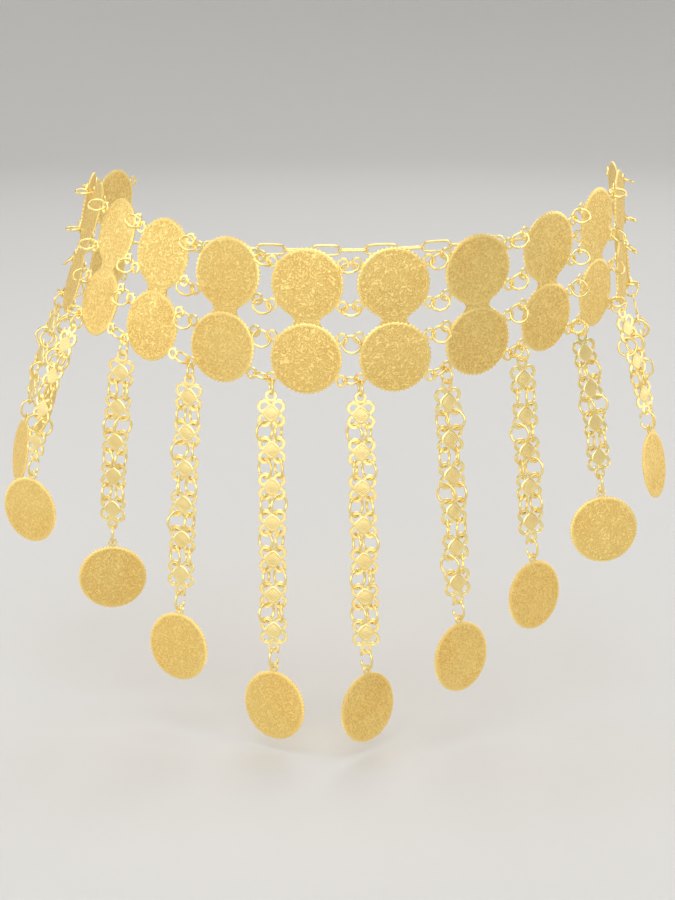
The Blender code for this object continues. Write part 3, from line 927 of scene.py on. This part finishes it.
class WAIST_OT_strands(bpy.types.Operator):
    """Makes the hanging strands of lobed links"""

    bl_idname = "waist.strands"
    bl_label = "Strands"

    def execute(self, context):
        sizes = context.scene.link_sizes
        gold = context.scene.gold_colours
        materials = [
            polished_gold("Link gold", gold.link, 0.26, 0.3),
            pad_gold("Pad gold", gold.link),
            polished_gold("Strand wire gold", gold.wire, 0.2, 0.15),
        ]
        lobe = band_form("lobe", sizes.lobe_hole, LOBE_RADIUS, LOBE_SHEET, 28, LOBE_EDGE)
        tab = band_form("tab", sizes.tab_hole, TAB_RADIUS, TAB_SHEET, 26)
        pad = pad_form(sizes.pad_width, sizes.pad_height)
        pair = wire_form("pair", sizes.pair_ring, sizes.pair_wire, PAIR_CUT)
        top = wire_form("top", RING_RADIUS, WIRE_RADIUS, TOP_CUT)
        end = wire_form(
            "end", RING_RADIUS, WIRE_RADIUS, END_CUT, LONG_RING_STEPS, END_RING_STRETCH)
        for number, row in enumerate(STRANDS, 1):
            strand = Strand(row, PLATE_FRAMES)
            bm = bmesh.new()
            for n in range(row.links):
                place = strand.frame(strand.link_drop(n), row.turn)
                for x in (1, -1):
                    for z in (1, -1):
                        stamp(bm, lobe, place @ shift(x * LOBE_OFFSET, z=z * LOBE_OFFSET))
                stamp(bm, pad, place, 1)
            for n, reach in ((0, TAB_REACH), (row.links - 1, -TAB_REACH)):
                stamp(bm, tab, strand.frame(strand.link_drop(n), row.turn) @ shift(z=reach))
            for n in range(row.links - 1):
                middle = strand.frame(strand.link_drop(n + 0.5), row.turn)
                turns = PAIR_TURNS[(n + 3 * number) % len(PAIR_TURNS)]
                for side, turn in zip((-1, 1), turns):
                    place = middle @ shift(side * LOBE_OFFSET) @ turned(turn, "Z")
                    stamp(bm, pair, place @ turned(90 + 7 * turn, "X"), 2)
            place = strand.frame(top_ring_drop()) @ shift(TOP_RING_ASIDE)
            stamp(bm, top, place @ turned(row.ring_turn, "Z") @ turned(70, "X"), 2)
            stamp(bm, end, strand.end_frame() @ shift(z=END_RING_STRETCH), 2)
            close_piece(
                f"link_strand_{number:02d}", bm, materials, f"strand_{number:02d}",
                f"strand_{number:02d}")
        return {"FINISHED"}


class WAIST_OT_pendants(bpy.types.Operator):
    """Makes the pendant coin at the foot of each strand"""

    bl_idname = "waist.pendants"
    bl_label = "Pendant coins"

    def execute(self, context):
        sizes = context.scene.coin_sizes
        gold = context.scene.gold_colours
        materials = [
            # The fourth number is how strongly painted shade darkens the pendant coins' hollows,
            # lighter here than on the plates
            stamped_gold("Pendant coin gold", gold.face, gold.painted_hollow_shade, 12.0, 0.45, 0.46),
            polished_gold("Pendant loop gold", gold.wire, 0.24, 0.2),
        ]
        coin = coin_form(PENDANT_RADIUS + PENDANT_TOOTH_REACH, sizes.pendant_teeth, sizes)
        loop = band_form("loop", LOOP_HOLE, LOOP_RADIUS, EYELET_SHEET, 24)
        for number, row in enumerate(STRANDS, 1):
            place = Strand(row, PLATE_FRAMES).end_frame()
            bm = bmesh.new()
            stamp(bm, coin, place @ shift(z=-LOOP_DROP - LOOP_REACH))
            stamp(bm, loop, place @ shift(z=-LOOP_DROP), 1)
            close_piece(
                f"coin_pendant_{number:02d}", bm, materials, f"pendant_{number:02d}",
                f"pendant_{number:02d}")
        return {"FINISHED"}


class WAIST_OT_closure(bpy.types.Operator):
    """Makes the closing chain and its hook at the back"""

    bl_idname = "waist.closure"
    bl_label = "Closing chain"

    def execute(self, context):
        gold = context.scene.gold_colours
        materials = [polished_gold("Closing chain gold", gold.wire, 0.22, 0.2)]
        nodes = closure_nodes(PLATE_ARCS, PLATE_FRAMES)
        stretches = {
            "closure_chain_right": range(HOOK_PLACE),
            "closure_chain_left": range(HOOK_PLACE + 1, CLOSURE_LINKS),
            "closure_hook": range(HOOK_PLACE, HOOK_PLACE + 1),
        }
        for name, numbers in stretches.items():
            hook = name == "closure_hook"
            bm = bmesh.new()
            for n in numbers:
                near, far = nodes[n], nodes[n + 1]
                reach = HOOK_CROSSING - CLOSURE_OVERLAP / 2 if hook else CLOSURE_OVERLAP / 2
                radius = CLOSURE_LINK_WIDTH / 2
                spread = (far - near).length / 2 + reach - radius
                cut = HOOK_OPENING if hook else CLOSURE_CUT
                link = wire_form("link", radius, CLOSURE_WIRE, cut, LONG_RING_STEPS, spread)
                stamp(bm, link, closure_frame(near, far, n % 2 == 0))
                bpy.data.meshes.remove(link)
            close_piece(f"back_{name}", bm, materials, name, "belt")
        return {"FINISHED"}


class WAIST_OT_stage(bpy.types.Operator):
    """Makes the studio floor, the soft lights and the camera"""

    bl_idname = "waist.stage"
    bl_label = "Stage"

    def execute(self, context):
        self.make_floor(context)
        for row in LIGHTS:
            self.add_light(context, row)
        world = bpy.data.worlds.new("Studio")
        world.use_nodes = True
        sky = world.node_tree.nodes["Background"]
        sky.inputs["Color"].default_value = SKY_COLOUR
        sky.inputs["Strength"].default_value = SKY_STRENGTH
        context.scene.world = world
        context.scene.view_settings.view_transform = "Standard"
        self.place_camera(context)
        return {"FINISHED"}

    def make_floor(self, context):
        """A round floor that curves up into a backdrop on every side."""
        low = CAD_BOX[0][2] - FLOOR_GAP
        profile = [(0, low), (FLOOR_RADIUS, low)]
        for n in range(1, FLOOR_BEND_STEPS + 1):
            angle = math.pi / 2 * n / FLOOR_BEND_STEPS
            profile.append((
                FLOOR_RADIUS + FLOOR_BEND * math.sin(angle), low + FLOOR_BEND * (1 - math.cos(angle))))
        profile.append((FLOOR_RADIUS + FLOOR_BEND, low + BACKDROP_HEIGHT))
        bm = bmesh.new()
        verts = [bm.verts.new((radius, 0, height)) for radius, height in profile]
        edges = [bm.edges.new(pair) for pair in zip(verts, verts[1:])]
        bmesh.ops.spin(
            bm, geom=verts + edges, cent=(0, 0, 0), axis=(0, 0, 1), dvec=(0, 0, 0),
            angle=2 * math.pi, steps=FLOOR_STEPS, use_merge=True)
        bmesh.ops.remove_doubles(bm, verts=bm.verts, dist=MM)
        bmesh.ops.recalc_face_normals(bm, faces=bm.faces)
        middle = min(bm.faces, key=lambda face: face.calc_center_median().length)
        if middle.normal.z < 0:
            bmesh.ops.reverse_faces(bm, faces=bm.faces)
        for face in bm.faces:
            face.smooth = True
        mesh = bpy.data.meshes.new("floor")
        bm.to_mesh(mesh)
        bm.free()
        mesh.materials.append(matte("Studio paper", context.scene.gold_colours.floor))
        floor = bpy.data.objects.new("floor", mesh)
        context.collection.objects.link(floor)

    def add_light(self, context, row):
        """A soft oblong light that faces the chain."""
        lamp = bpy.data.lights.new(row.name, "AREA")
        lamp.shape = "RECTANGLE"
        lamp.size = row.width
        lamp.size_y = row.height
        lamp.energy = row.power
        light = bpy.data.objects.new(row.name, lamp)
        light.location = row.place
        aim = Vector(LIGHT_AIM) - Vector(row.place)
        light.rotation_euler = aim.to_track_quat("-Z", "Y").to_euler()
        context.collection.objects.link(light)

    def place_camera(self, context):
        """The camera at the photograph's viewing angle."""
        camera = bpy.data.cameras.new("Camera")
        camera.sensor_fit = "VERTICAL"
        camera.sensor_height = CAMERA_SENSOR
        camera.lens = CAMERA_LENS
        camera.clip_start = 0.02
        view = bpy.data.objects.new("Camera", camera)
        view.location = CAMERA_PLACE
        view.rotation_euler = (math.pi / 2 - CAMERA_DIP, 0, CAMERA_TURN)
        context.collection.objects.link(view)
        context.scene.camera = view


OPERATORS = (WAIST_OT_stage, WAIST_OT_plates, WAIST_OT_strands, WAIST_OT_pendants, WAIST_OT_closure)


class WAIST_PT_panel(bpy.types.Panel):
    """Lists the waist chain's pieces and sizes"""

    bl_idname = "WAIST_PT_panel"
    bl_label = "Waist chain"
    bl_space_type = "VIEW_3D"
    bl_region_type = "UI"
    bl_category = "Waist chain"

    def draw(self, context):
        for group in (context.scene.coin_sizes, context.scene.link_sizes, context.scene.gold_colours):
            box = self.layout.box()
            for name in group.bl_rna.properties.keys():
                if name not in ("rna_type", "name"):
                    box.prop(group, name)
        for operator in OPERATORS:
            self.layout.operator(operator.bl_idname)


CLASSES = (CoinSizes, LinkSizes, GoldColours, *OPERATORS, WAIST_PT_panel)


def register():
    for cls in CLASSES:
        bpy.utils.register_class(cls)
    bpy.types.Scene.coin_sizes = bpy.props.PointerProperty(type=CoinSizes)
    bpy.types.Scene.link_sizes = bpy.props.PointerProperty(type=LinkSizes)
    bpy.types.Scene.gold_colours = bpy.props.PointerProperty(type=GoldColours)


def unregister():
    del bpy.types.Scene.gold_colours
    del bpy.types.Scene.link_sizes
    del bpy.types.Scene.coin_sizes
    for cls in reversed(CLASSES):
        bpy.utils.unregister_class(cls)


def main():
    register()
    bpy.ops.waist.stage()
    bpy.ops.waist.plates()
    bpy.ops.waist.strands()
    bpy.ops.waist.pendants()
    bpy.ops.waist.closure()


if __name__ == "__main__":
    main()
